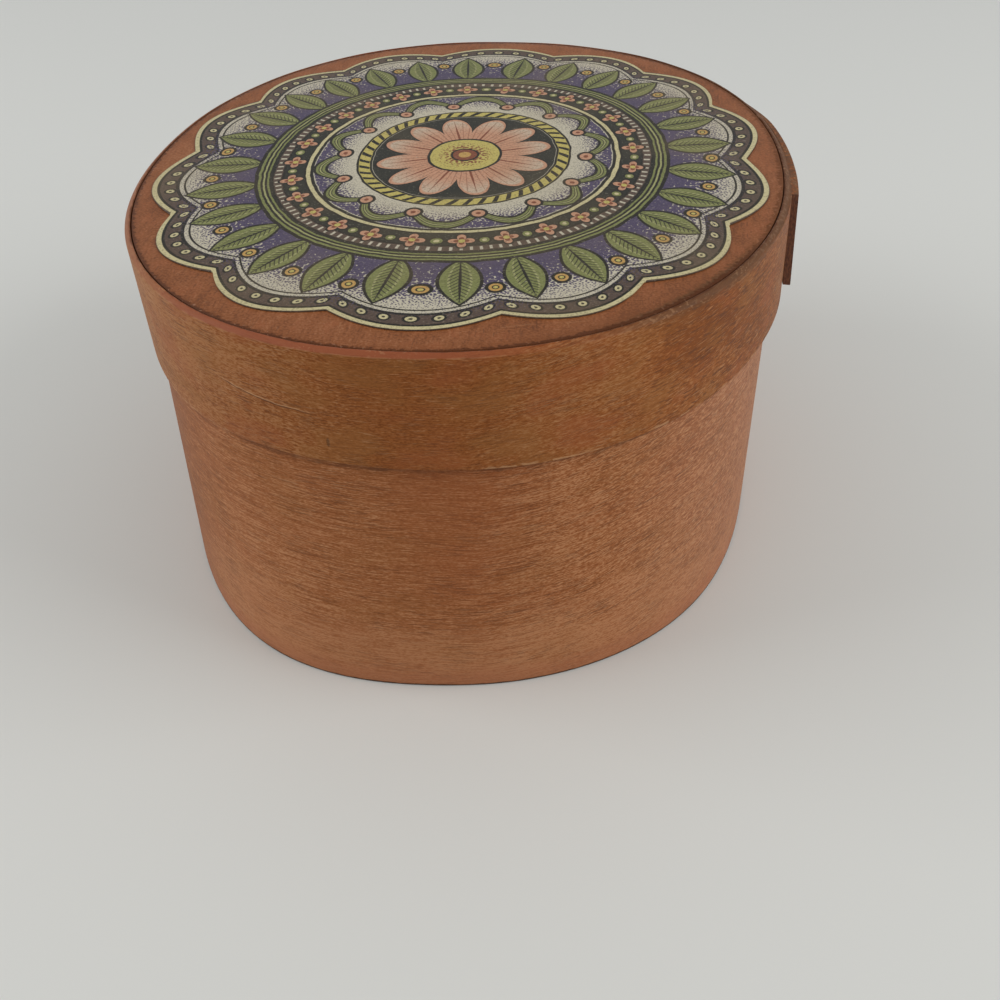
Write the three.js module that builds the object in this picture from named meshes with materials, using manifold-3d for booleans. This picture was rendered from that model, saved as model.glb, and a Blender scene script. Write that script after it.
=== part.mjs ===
// Oval bentwood trinket box: a lapped veneer body with a base board, and a lift-off lid.
// Millimetres, +Z up. The origin is the centre of the base's underside. +Y is the long way.

import * as THREE from 'three';
import { mergeVertices } from 'three/addons/utils/BufferGeometryUtils.js';
import Module from 'manifold-3d';

// Closed box, over the lid band
const BOX_WIDTH = 102;
const BOX_LENGTH = 127;
const BOX_HEIGHT = 56.7;

// The oval is a superellipse: a power of 2 is an ellipse, and a little more fills out its corners
const OVAL_POWER = 2.14;
const OVAL_STEPS = 120;

// Veneer strips
const VENEER = 0.9;
const VENEER_EASE = 0.18;
const LID_BAND_HEIGHT = 16.8;
const LID_SLIP_GAP = 0.2;

// The lid's rim is rubbed down to a slope that falls outwards
const RIM_SLOPE_RUN = 0.6;
const RIM_SLOPE_FALL = 0.5;

// Boards, each let into its band with a narrow crevice round it
const BOARD_GAP = 0.3;
const BOARD_EASE = 0.15;
const LID_BOARD_THICKNESS = 3;
const LID_BOARD_DROP = 0.1;
const BASE_BOARD_THICKNESS = 4;

// Lap of the lid band: the square free end is at the right, and the lap runs towards the back.
// The end is trimmed short at the foot and springs away from the band, most at its lower corner.
const LID_LAP_END = THREE.MathUtils.degToRad(-10);
const LID_LAP_FULL = THREE.MathUtils.degToRad(24);
const LID_LAP_RAMP = THREE.MathUtils.degToRad(14);
const LID_LAP_TRIM = 1.45;
const LID_LAP_LIFT = 0.35;
const LID_LAP_FLARE = 0.7;
const LID_LAP_LIFTED = THREE.MathUtils.degToRad(6);

// Scarfed lap of the body band, at the back: a seam outside and a feather edge inside
const BODY_SEAM = THREE.MathUtils.degToRad(78);
const BODY_SEAM_WIDTH = 0.35;
const BODY_SEAM_DEPTH = 0.25;
const BODY_SEAM_OVERRUN = 1;
const BODY_SCARF = THREE.MathUtils.degToRad(20);
const BODY_FEATHER = 0.22;

// A lap's underside goes this far into the strip below it, so that the two join, and its ramp sinks
// just under that strip's face where it runs out
const LAP_BITE = 0.3;
const LAP_SINK = 0.06;
const LAP_STEPS = 24;

// Printed paper with a scalloped edge, measured over the tips of its lobes
const PRINT_WIDTH = 96.3;
const PRINT_LENGTH = 115.4;
const PRINT_THICKNESS = 0.2;
const PRINT_LOBES = 14;
const PRINT_LOBE_DEPTH = 3.4;
const PRINT_LOBE_STEPS = 12;

// Levels, from the foot up
const LID_BAND_FOOT = BOX_HEIGHT - LID_BAND_HEIGHT;
const LID_ARRIS = BOX_HEIGHT - RIM_SLOPE_FALL;
const LID_BOARD_TOP = BOX_HEIGHT - LID_BOARD_DROP;
const BODY_HEIGHT = LID_BOARD_TOP - LID_BOARD_THICKNESS;

// Faces of the strips and boards, as distances outwards from the lid band's outer face
const LID_INNER_FACE = -VENEER;
const LID_BOARD_EDGE = LID_INNER_FACE - BOARD_GAP;
const BODY_OUTER_FACE = LID_INNER_FACE - LID_SLIP_GAP;
const BODY_INNER_FACE = BODY_OUTER_FACE - VENEER;
const BASE_BOARD_EDGE = BODY_INNER_FACE - BOARD_GAP;

const wasm = await Module();
wasm.setup();

// Point on an oval at an angle, moved outwards along the oval's normal
function ovalPoint(turn, outwards, width = BOX_WIDTH, length = BOX_LENGTH) {
  const halfWidth = width / 2;
  const halfLength = length / 2;
  const signedPower = (value, power) => Math.sign(value) * Math.abs(value) ** power;
  const across = signedPower(Math.cos(turn), 2 / OVAL_POWER);
  const along = signedPower(Math.sin(turn), 2 / OVAL_POWER);
  const normal = new THREE.Vector2(
    signedPower(across, OVAL_POWER - 1) / halfWidth,
    signedPower(along, OVAL_POWER - 1) / halfLength,
  ).normalize();
  return new THREE.Vector2(across * halfWidth, along * halfLength).addScaledVector(normal, outwards);
}

// Angles of equal steps once round
function turns(steps) {
  return Array.from({ length: steps }, (_, step) => (2 * Math.PI * step) / steps);
}

// Closed outline round the box's oval, moved outwards
function ovalOutline(outwards) {
  return turns(OVAL_STEPS).map((turn) => ovalPoint(turn, outwards));
}

// Section of a strip, given as pairs of outwards and height, stood on the oval at an angle
function standSection(section, turn) {
  return section.map(([outwards, height]) => {
    const foot = ovalPoint(turn, outwards);
    return new THREE.Vector3(foot.x, foot.y, height);
  });
}

// Upright slab of a shape between two levels, with its upper and lower edges eased
function slab(shape, bottom, top, ease = 0) {
  const geometry = new THREE.ExtrudeGeometry(shape, {
    depth: top - bottom - 2 * ease,
    steps: 1,
    bevelEnabled: ease > 0,
    bevelThickness: ease,
    bevelSize: ease,
    bevelOffset: -ease,
    bevelSegments: 1,
  });
  geometry.translate(0, 0, bottom + ease);
  return geometry;
}

// Skin over sections of equal size, either once round or with the first and last section filled
function loft(sections, closed) {
  const size = sections[0].length;
  const index = [];
  const spans = closed ? sections.length : sections.length - 1;
  for (let span = 0; span < spans; span += 1) {
    const here = span * size;
    const there = ((span + 1) % sections.length) * size;
    for (let point = 0; point < size; point += 1) {
      const after = (point + 1) % size;
      index.push(here + point, there + point, there + after);
      index.push(here + point, there + after, here + after);
    }
  }
  if (!closed) {
    const last = (sections.length - 1) * size;
    for (let point = 1; point < size - 1; point += 1) {
      index.push(0, point, point + 1);
      index.push(last, last + point + 1, last + point);
    }
  }
  const geometry = new THREE.BufferGeometry().setFromPoints(sections.flat());
  geometry.setIndex(index);
  return geometry;
}

function toSolid(geometry) {
  const bare = geometry.clone();
  bare.deleteAttribute('normal');
  bare.deleteAttribute('uv');
  const merged = mergeVertices(bare);
  return new wasm.Manifold(new wasm.Mesh({
    numProp: 3,
    vertProperties: new Float32Array(merged.attributes.position.array),
    triVerts: new Uint32Array(merged.index.array),
  }));
}

function toGeometry(solid) {
  const mesh = solid.getMesh();
  const geometry = new THREE.BufferGeometry();
  geometry.setAttribute('position', new THREE.BufferAttribute(mesh.vertProperties, 3));
  geometry.setIndex(new THREE.BufferAttribute(mesh.triVerts, 1));
  geometry.computeVertexNormals();
  return geometry;
}

// Strip bent into a closed oval band, with eased edges. Its upper outer edge falls over a run of its
// thickness.
function bentBand({ outer, inner, bottom, top, run = VENEER_EASE, fall = VENEER_EASE }) {
  const section = [
    [outer, bottom + VENEER_EASE],
    [outer, top - fall],
    [outer - run, top],
    [inner + VENEER_EASE, top],
    [inner, top - VENEER_EASE],
    [inner, bottom + VENEER_EASE],
    [inner + VENEER_EASE, bottom],
    [outer - VENEER_EASE, bottom],
  ];
  return loft(turns(OVAL_STEPS).map((turn) => standSection(section, turn)), true);
}

// Second layer of a strip over part of a band: full thickness, then a ramp that runs out to nothing.
// A positive thickness lies outside the face and a negative one inside it. The free end can be trimmed
// at the foot, and lifted off the face with its lower corner flared out further.
function lapLayer({ face, thickness, end, full, ramp, bottom, top, ...freeEnd }) {
  const { trim = 0, lift = 0, flare = 0, lifted = 0 } = freeEnd;
  const side = Math.sign(thickness);
  const sections = [];
  for (let step = 0; step <= LAP_STEPS; step += 1) {
    const swept = ((full + ramp) * step) / LAP_STEPS;
    const runOut = THREE.MathUtils.smoothstep(swept, full, full + ramp);
    const sprung = swept < lifted ? (1 - swept / lifted) ** 2 : 0;
    const foot = bottom + trim * (1 - THREE.MathUtils.smoothstep(swept, 0, full + ramp));
    const overside = THREE.MathUtils.lerp(Math.abs(thickness), -LAP_SINK, runOut);
    const underside = swept < lifted ? 0 : -LAP_BITE;
    const upper = lift * sprung;
    const lower = (lift + flare) * sprung;
    const section = [
      [face + side * (overside + lower), foot],
      [face + side * (overside + upper), top],
      [face + side * (underside + upper), top],
      [face + side * (underside + lower), foot],
    ];
    sections.push(standSection(section, end + swept));
  }
  return loft(side > 0 ? sections : sections.reverse(), false);
}

// V-shaped score up the outside of a band. Its cutter stands as far out of the face as it goes in, where
// it is twice as wide as the seam, and runs past the band's edges.
function seamCut(face, turn, bottom, top) {
  const onFace = ovalPoint(turn, face);
  const outwards = ovalPoint(turn, face + 1).sub(onFace);
  const sideways = new THREE.Vector2(-outwards.y, outwards.x);
  const proud = onFace.clone().addScaledVector(outwards, BODY_SEAM_DEPTH);
  const root = onFace.clone().addScaledVector(outwards, -BODY_SEAM_DEPTH);
  const shape = new THREE.Shape([
    root,
    proud.clone().addScaledVector(sideways, -BODY_SEAM_WIDTH),
    proud.clone().addScaledVector(sideways, BODY_SEAM_WIDTH),
  ]);
  return slab(shape, bottom - BODY_SEAM_OVERRUN, top + BODY_SEAM_OVERRUN);
}

function baseBoard() {
  return slab(new THREE.Shape(ovalOutline(BASE_BOARD_EDGE)), 0, BASE_BOARD_THICKNESS, BOARD_EASE);
}

function bodyBand() {
  const band = toSolid(bentBand({
    outer: BODY_OUTER_FACE,
    inner: BODY_INNER_FACE,
    bottom: 0,
    top: BODY_HEIGHT,
  }));
  const feather = toSolid(lapLayer({
    face: BODY_INNER_FACE,
    thickness: -BODY_FEATHER,
    end: BODY_SEAM - BODY_SCARF,
    full: 0,
    ramp: BODY_SCARF,
    bottom: VENEER_EASE,
    top: BODY_HEIGHT - VENEER_EASE,
  }));
  const seam = toSolid(seamCut(BODY_OUTER_FACE, BODY_SEAM, 0, BODY_HEIGHT));
  return toGeometry(band.add(feather).subtract(seam));
}

function lidBand() {
  const band = toSolid(bentBand({
    outer: 0,
    inner: LID_INNER_FACE,
    bottom: LID_BAND_FOOT,
    top: BOX_HEIGHT,
    run: RIM_SLOPE_RUN,
    fall: RIM_SLOPE_FALL,
  }));
  const lap = toSolid(lapLayer({
    face: 0,
    thickness: VENEER,
    end: LID_LAP_END,
    full: LID_LAP_FULL,
    ramp: LID_LAP_RAMP,
    bottom: LID_BAND_FOOT,
    top: LID_ARRIS,
    trim: LID_LAP_TRIM,
    lift: LID_LAP_LIFT,
    flare: LID_LAP_FLARE,
    lifted: LID_LAP_LIFTED,
  }));
  return toGeometry(band.add(lap));
}

function lidBoard() {
  return slab(new THREE.Shape(ovalOutline(LID_BOARD_EDGE)), BODY_HEIGHT, LID_BOARD_TOP, BOARD_EASE);
}

function lidPrint() {
  const outline = turns(PRINT_LOBES * PRINT_LOBE_STEPS).map((turn) => {
    const lobe = Math.abs(Math.sin((PRINT_LOBES * turn) / 2));
    return ovalPoint(turn, PRINT_LOBE_DEPTH * (lobe - 1), PRINT_WIDTH, PRINT_LENGTH);
  });
  return slab(new THREE.Shape(outline), LID_BOARD_TOP, LID_BOARD_TOP + PRINT_THICKNESS);
}

function piece(name, geometry, color, roughness) {
  const material = new THREE.MeshStandardMaterial({ color, roughness, metalness: 0 });
  const mesh = new THREE.Mesh(geometry, material);
  mesh.name = name;
  return mesh;
}

const body = new THREE.Group();
body.add(
  piece('base_board', baseBoard(), 0xb98a5e, 0.8),
  piece('body_band', bodyBand(), 0x8f5a3b, 0.65),
);

const lid = new THREE.Group();
lid.add(
  piece('lid_band', lidBand(), 0x85502c, 0.6),
  piece('lid_board', lidBoard(), 0x8a5234, 0.65),
  piece('lid_print', lidPrint(), 0x8d8a6c, 0.5),
);

const box = new THREE.Group();
box.add(body, lid);

export default box;
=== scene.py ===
# Looks of an oval bentwood trinket box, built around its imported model. Metres, +Z up.
import math
from collections import namedtuple

import bmesh
import bpy
from mathutils import Matrix, Vector


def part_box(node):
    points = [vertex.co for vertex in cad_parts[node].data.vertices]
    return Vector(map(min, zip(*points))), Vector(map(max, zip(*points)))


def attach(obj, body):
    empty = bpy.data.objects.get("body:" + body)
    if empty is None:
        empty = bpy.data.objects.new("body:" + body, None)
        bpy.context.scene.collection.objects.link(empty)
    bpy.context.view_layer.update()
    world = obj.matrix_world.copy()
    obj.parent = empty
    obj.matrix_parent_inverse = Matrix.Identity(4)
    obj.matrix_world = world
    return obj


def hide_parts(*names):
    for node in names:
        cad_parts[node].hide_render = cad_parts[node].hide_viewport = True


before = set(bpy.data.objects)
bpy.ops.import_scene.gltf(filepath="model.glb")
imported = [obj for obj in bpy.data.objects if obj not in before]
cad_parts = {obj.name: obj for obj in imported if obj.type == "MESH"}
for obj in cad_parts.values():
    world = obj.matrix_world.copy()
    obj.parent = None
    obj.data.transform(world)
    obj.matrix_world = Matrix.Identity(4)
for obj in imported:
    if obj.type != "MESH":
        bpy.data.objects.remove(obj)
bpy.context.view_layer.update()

MM = 0.001

# Camera at the photograph's viewing angle
CAMERA_PLACE = (25.02 * MM, -180.14 * MM, 125.17 * MM)
CAMERA_HEADING = math.radians(6.65)
CAMERA_PITCH = math.radians(37.272)
CAMERA_ROLL = math.radians(-1.714)
CAMERA_NEAR = 10 * MM
FOCAL_PIXELS = 1156.2
IMAGE_PIXELS = 1000
SENSOR_MM = 36

# An even sky, a window at either side, and a pale floor
SKY_COLOR = (0.98, 0.99, 1.0)
SKY_STRENGTH = 0.52
WINDOW_OUT = 0.75
WINDOW_Y = -0.1
WINDOW_HEIGHT = 0.45
WINDOW_SIZE = 0.6
LEFT_WATTS = 2.7
RIGHT_WATTS = 3.25
FLOOR_HALF = 4.0
FLOOR_COLOR = (0.72, 0.725, 0.69)
FLOOR_ROUGHNESS = 0.45

# The box's oval, and the levels and faces of its pieces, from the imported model
OVAL_POWER = 2.14
LID_LOW, LID_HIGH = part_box("lid_band")
BODY_LOW, BODY_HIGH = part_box("body_band")
BASE_LOW, BASE_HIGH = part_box("base_board")
BOARD_LOW, BOARD_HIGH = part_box("lid_board")
PRINT_LOW, PRINT_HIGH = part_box("lid_print")
HALF_WIDTH = -LID_LOW[0]
HALF_LENGTH = LID_HIGH[1]
BODY_OUTER_FACE = BODY_HIGH[1] - HALF_LENGTH
BASE_EDGE = BASE_HIGH[1] - HALF_LENGTH

# Veneer strips: thickness, rounded edges, the lid's sloping rim, and where their sections have points
VENEER = 0.9 * MM
TOP_ARRIS = 0.12 * MM
BODY_FOOT_ARRIS = 0.22 * MM
LID_FOOT_ARRIS = 0.12 * MM
RIM_RUN = 0.6 * MM
RIM_FALL = 0.5 * MM
EDGE_SHARES = (0.0, 0.03, 0.08, 0.16, 0.3, 0.5, 0.7, 0.84, 0.92, 0.97, 1.0)
FACE_ROWS = (0.03, 0.1, 0.18, 0.4, 0.6, 0.82, 0.9, 0.97)
SHARP_CORNER = math.radians(50)
TURN_STEPS = 360

# A place along a strip: its angle, how far its foot leans out, its two faces and its two edges
Station = namedtuple("Station", "turn flare inner outer low high")

# The lid's lap, as angles round the oval, and how far the lid bulges and gapes at its free end
LAP_END = math.radians(-10)
LAP_FULL = math.radians(24)
LAP_RAMP = math.radians(14)
LAP_LIFT = 0.06 * MM
LAP_FLARE = 0.3 * MM
LAP_LIFTED = math.radians(6)
LAP_TRIM = 1.45 * MM
BULGE = 0.3 * MM
BULGE_FLARE = 0.3 * MM
BULGE_REACH = math.radians(24)
GLUE_LINE = 0.012 * MM

# The body's scored seam outside and the feather edge of its scarf inside
SEAM = math.radians(78)
SEAM_HALF_WIDTH = math.radians(0.16)
SEAM_DEPTH = 0.25 * MM
SCARF = math.radians(20)
FEATHER = 0.22 * MM

# Where the bent bands stray from a true oval: angle and reach round it, and how far out foot and top are
Stray = namedtuple("Stray", "turn reach foot top")
BODY_STRAYS = (
    Stray(math.radians(-152), math.radians(32), 0.0, -0.7 * MM),
    Stray(math.radians(-116), math.radians(34), 1.35 * MM, 0.0),
    Stray(math.radians(-44), math.radians(32), 0.65 * MM, 0.0),
    Stray(math.radians(-10), math.radians(30), -0.45 * MM, 0.12 * MM),
)
LID_STRAYS = (
    Stray(math.radians(-152), math.radians(32), -0.6 * MM, 0.0),
    Stray(LAP_END, BULGE_REACH, BULGE_FLARE, 0.0),
)

# Waves in edges cut by hand: size, count round the oval and shift. The lid's rim is worn down as well.
Wave = namedtuple("Wave", "size count shift")
LID_FOOT_WAVES = (Wave(0.09 * MM, 3, 0.6), Wave(0.05 * MM, 7, 2.0))
LID_RIM_WAVES = (Wave(0.03 * MM, 5, 1.1), Wave(0.02 * MM, 17, 0.4))
LID_RIM_WEAR = 0.05 * MM
CREVICE_WAVES = (Wave(0.016 * MM, 13, 0.0), Wave(0.008 * MM, 37, 1.0))

# Boards, the crevice round the lid's board, and the print
BOARD_ROUND = 0.2 * MM
ROUND_SHARES = (1.0, 0.6, 0.3, 0.1, 0.0)
BOARD_RINGS = (0.97, 0.9, 0.75, 0.55, 0.3)
CREVICE_WIDTH = 0.12 * MM
CREVICE_SWELL = 0.056 * MM
CREVICE_WIDEST = math.radians(-85)
PRINT_LOBES = 14
PRINT_LOBE_STEPS = 30
PRINT_HALF_WIDTH = 48.15 * MM
PRINT_HALF_LENGTH = PRINT_HIGH[1]
PRINT_LOBE_DEPTH = 3.4 * MM
PRINT_ROUND = 0.06 * MM

# Colours of the wood, the wear and the dirt, and of painted shade and sheen, as linear red, green and blue
BODY_DEEP = (0.235, 0.072, 0.019)
BODY_STAIN = (0.338, 0.115, 0.036)
BODY_LIGHT = (0.49, 0.218, 0.097)
BODY_HANDLED = (0.42, 0.175, 0.078)
BODY_FOOT = (0.4, 0.145, 0.068)
# Painted sheen for the body's right side
BODY_SHEEN = (0.45, 0.255, 0.185)
LID_DEEP = (0.2, 0.056, 0.009)
LID_STAIN = (0.287, 0.091, 0.02)
LID_LIGHT = (0.39, 0.165, 0.06)
LID_RIM = (0.3, 0.083, 0.035)
LID_RIM_RUBBED = (0.33, 0.15, 0.09)
RED_FLUSH = (0.31, 0.085, 0.026)
OCHRE_FLUSH = (0.29, 0.115, 0.03)
TOP_DEEP = (0.18, 0.056, 0.016)
TOP_STAIN = (0.262, 0.087, 0.028)
TOP_LIGHT = (0.345, 0.137, 0.058)
PORE = (0.125, 0.042, 0.015)
RAW_FIBRE = (0.55, 0.3, 0.15)
CUT_DEEP = (0.1, 0.034, 0.015)
CUT_LIGHT = (0.21, 0.075, 0.031)
BARE = (0.52, 0.34, 0.18)
BARE_DEEP = (0.42, 0.25, 0.12)
BARE_LIGHT = (0.62, 0.44, 0.26)
BARE_PORE = (0.3, 0.16, 0.075)
# Painted shade and dirt in the crevice round the lid's board
CREVICE_SHADE_AND_DIRT = (0.085, 0.022, 0.004)
DIRT = (0.12, 0.054, 0.022)
# Dark dirt, also painted as a contact shadow along the body's foot
DARK_DIRT_AND_SHADE = (0.05, 0.025, 0.013)
FRAYED = (0.5, 0.3, 0.19)

# Shine and relief of the surfaces
VENEER_SPECULAR = 0.15
PAPER_SPECULAR = 0.2
VENEER_RELIEF = 0.04 * MM
BARE_RELIEF = 0.04 * MM
CUT_RELIEF = 0.05 * MM
BOARD_RELIEF = 0.05 * MM
PAPER_RELIEF = 0.015 * MM

# Veneer: tones, place in the noise, size of its fibres in millimetres and strength of its clouds
Veneer = namedtuple("Veneer", "deep middle light shift length height cloud")
BODY_VENEER = Veneer(BODY_DEEP, BODY_STAIN, BODY_LIGHT, 0.0, 4.2, 0.17, 0.4)
LID_VENEER = Veneer(LID_DEEP, LID_STAIN, LID_LIGHT, 40.0, 1.3, 0.3, 1.2)
LID_FIBROUS = 0.41

# How far the grain sways up and down, in millimetres, and how steeply it climbs beyond a place on x
GRAIN_SWAY = 4.0
GRAIN_CLIMB = 0.14
GRAIN_CLIMB_FROM = 8

# A dent on the front of the lid, in millimetres
DENT_X = -10.3
DENT_Z = 43.1
DENT_HALF_WIDTH = 0.26
DENT_HALF_HEIGHT = 0.75

# A split in the front of the lid, which rises to the left from its lowest place, in millimetres
SPLIT_LEFT = -25
SPLIT_RIGHT = -13
SPLIT_FADE = 2.5
SPLIT_LOWEST_X = -11.0
SPLIT_LOWEST_Z = 47.05
SPLIT_CURVE = 0.0075
SPLIT_HALF_WIDTH = 0.1

# Scratches on the lid's board, in millimetres
SCRATCH_SPACING = 9.0
SCRATCH_WIDTH = 0.14

# Inks of the print, as linear red, green and blue, and how soft and unsteady they are in millimetres
CREAM = (0.58, 0.51, 0.28)
PALE = (0.55, 0.5, 0.38)
OLIVE = (0.2, 0.215, 0.07)
OLIVE_PALE = (0.34, 0.34, 0.14)
OCHRE = (0.52, 0.31, 0.09)
YELLOW = (0.52, 0.43, 0.12)
BLUSH = (0.54, 0.28, 0.17)
RUSSET = (0.22, 0.065, 0.03)
VIOLET = (0.078, 0.06, 0.115)
UMBER = (0.095, 0.062, 0.045)
NIGHT = (0.024, 0.024, 0.017)
AGED = (0.28, 0.2, 0.1)
INK = (0.014, 0.012, 0.008)
PRINT_BLUR = 0.06
PEN_UNSTEADY = 0.5

# Border of the print, in millimetres in from its edge
# The dark line at the cut is painted shadow of the paper's edge as well as dark ink
CUT_LINE = 0.1
CREAM_LINE = 0.85
CREAM_INK_LINE = 1.3
BEAD_LINE = 2.75
FIELD_LINE = 4.2
FIELD_INK_LINE = 5.0

# Rings of the print's motifs and bands, as shares of its size, from the outside in
FIELD_SHADE_RING = 0.87
BERRY_RING = 0.815
LEAF_RING = 0.775
LEAF_FOOT_RING = 0.68
OLIVE_BAND = (0.632, 0.668)
OLIVE_PALE_BAND = (0.646, 0.652)
NIGHT_RING = 0.627
COMB_BAND = (0.592, 0.618)
COMB_RING = 0.605
FLOWER_RING = 0.562
CREAM_BAND = (0.503, 0.516)
FESTOON_GROUND_RING = 0.492
KNOT_RING = 0.405
FESTOON_RING = 0.4
FESTOON_SHADE_RING = 0.37
ROPE_BAND = (0.312, 0.348)
ROPE_RING = 0.33
BLOSSOM_GROUND_RING = 0.303
PETAL_TIP_RING = 0.27
PETAL_PALE_RING = 0.22
PETAL_ROOT_RING = 0.17
HEART_RING = 0.115
HEART_DOTS_RING = 0.11
PISTIL_RING = 0.04
PISTIL_LIGHT_RING = 0.02

# Numbers of the print's motifs, and sizes of the larger ones in millimetres
BEADS = PRINT_LOBES * 7
LEAVES = PRINT_LOBES * 2
COMB_TEETH = LEAVES * 5
ROPE_TWISTS = 48
PETALS = 12
FINE_VEINS = 60
LEAF_HALF_LENGTH = 5.8
LEAF_HALF_WIDTH = 2.7
LEAF_HATCH = 0.85
FESTOON_DROP = 3.8
PETAL_LENGTH = 6.3


def smoothstep(value, low, high):
    part = min(1.0, max(0.0, (value - low) / (high - low)))
    return part * part * (3 - 2 * part)


def signed_power(value, power):
    return math.copysign(abs(value) ** power, value)


def oval_point(turn, outwards, height, half_width=HALF_WIDTH, half_length=HALF_LENGTH):
    """Point at an angle round an oval, the lid's unless others are given, moved out along its normal."""
    across = signed_power(math.cos(turn), 2 / OVAL_POWER)
    along = signed_power(math.sin(turn), 2 / OVAL_POWER)
    normal = Vector((
        signed_power(across, OVAL_POWER - 1) / half_width,
        signed_power(along, OVAL_POWER - 1) / half_length,
    )).normalized()
    x = across * half_width + normal.x * outwards
    y = along * half_length + normal.y * outwards
    return (x, y, height)


def near(turn, middle, reach):
    """1 at an angle round the oval, falling to 0 at a reach on either side of it."""
    return 1 - smoothstep(abs(math.remainder(turn - middle, math.tau)), 0, reach)


def lean(turn, strays, share):
    """How far a band strays outwards at an angle and at a share of its height."""
    total = 0.0
    for stray in strays:
        out = stray.foot + (stray.top - stray.foot) * share
        total += near(turn, stray.turn, stray.reach) * out
    return total


def waver(turn, waves):
    """How far an edge cut by hand is off its line at an angle."""
    return sum(wave.size * math.sin(wave.count * turn + wave.shift) for wave in waves)


def edge_fall(distance, radius):
    """How far a rounded edge has fallen away at a distance from the face beside it."""
    if distance >= radius:
        return 0.0
    return radius - math.sqrt(radius ** 2 - (radius - distance) ** 2)


def face_rows(outwards, start, end):
    return [(outwards, start + (end - start) * row) for row in FACE_ROWS]


def strip_section(inner, outer, low, high, rim_fall, foot_arris, bare_below):
    """Section of a veneer strip as (outwards, height) pairs: over the top from outside to inside, down,
    under and up again. Also tells, for each point, whether the face that starts there is bare wood."""
    thickness = outer - inner
    top_arris = min(TOP_ARRIS, thickness / 2)
    foot_arris = min(foot_arris, thickness / 2)
    top = []
    foot = []
    for share in EDGE_SHARES:
        outwards = outer - thickness * share
        from_face = min(share, 1 - share) * thickness
        top.append((outwards, high - rim_fall(outwards) - edge_fall(from_face, top_arris)))
        foot.insert(0, (outwards, low + edge_fall(from_face, foot_arris)))
    inside = face_rows(inner, top[-1][1], foot[0][1])
    outside = face_rows(outer, foot[-1][1], top[0][1])
    points = top + inside + foot + outside
    inner_face = range(len(top) - 1, len(top) + len(inside))
    bare = [index in inner_face and points[index + 1][1] < bare_below for index in range(len(points))]
    return points, bare


def level_top(outwards):
    return 0.0


def sloping_rim(outwards):
    """How far the lid's rubbed rim has fallen at a distance outwards from the lid's face."""
    return RIM_FALL * min(1.0, max(0.0, 1 + outwards / RIM_RUN))


def body_section(inner, outer, low, high):
    return strip_section(inner, outer, low, high, level_top, BODY_FOOT_ARRIS, BODY_HIGH[2])


def lid_section(inner, outer, low, high):
    return strip_section(inner, outer, low, high, sloping_rim, LID_FOOT_ARRIS, BOARD_LOW[2])


def make_object(name, vertices, faces, materials, face_slots):
    mesh = bpy.data.meshes.new(name)
    mesh.from_pydata(vertices, [], faces)
    for material in materials:
        mesh.materials.append(material)
    mesh.polygons.foreach_set("material_index", face_slots)
    mesh.polygons.foreach_set("use_smooth", [True] * len(faces))
    bm = bmesh.new()
    bm.from_mesh(mesh)
    bmesh.ops.recalc_face_normals(bm, faces=bm.faces)
    bm.to_mesh(mesh)
    bm.free()
    mesh.set_sharp_from_angle(angle=SHARP_CORNER)
    piece = bpy.data.objects.new(name, mesh)
    bpy.context.scene.collection.objects.link(piece)
    return piece


def sweep(name, stations, closed, section, strays, materials):
    """Strip swept round the oval through its stations. Materials are for the outside, the bare inside
    and the cut ends, if any."""
    vertices = []
    bare = []
    for turn, flare, inner, outer, low, high in stations:
        points, bare = section(inner, outer, low, high)
        for outwards, height in points:
            share = (height - low) / (high - low)
            moved = outwards + flare * (1 - share) + lean(turn, strays, share)
            vertices.append(oval_point(turn, moved, height))
    size = len(bare)
    count = len(stations)
    faces = []
    slots = []
    for station in range(count if closed else count - 1):
        here = station * size
        there = (station + 1) % count * size
        for point in range(size):
            after = (point + 1) % size
            faces.append((here + point, here + after, there + after, there + point))
            slots.append(1 if bare[point] else 0)
    if not closed:
        faces.append(tuple(range(size)))
        faces.append(tuple(range((count - 1) * size, count * size)))
        slots.extend([2, 2])
    return make_object(name, vertices, faces, materials, slots)


def body_stations():
    """Body band: a closed ring with a scored seam outside and a feather edge inside."""
    turns = [math.tau * step / TURN_STEPS for step in range(TURN_STEPS)]
    turns += [SEAM - SEAM_HALF_WIDTH, SEAM + SEAM_HALF_WIDTH, SEAM - SCARF - SEAM_HALF_WIDTH / 4]
    stations = []
    for turn in sorted(set(turns)):
        from_seam = abs(turn - SEAM)
        groove = SEAM_DEPTH * max(0.0, 1 - from_seam / SEAM_HALF_WIDTH)
        swept = turn - (SEAM - SCARF)
        feather = FEATHER * (1 - smoothstep(swept, 0, SCARF)) if swept >= 0 else 0.0
        outer = BODY_OUTER_FACE - groove
        inner = BODY_OUTER_FACE - VENEER - feather
        stations.append(Station(turn, 0.0, inner, outer, BODY_LOW[2], BODY_HIGH[2]))
    return stations


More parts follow.
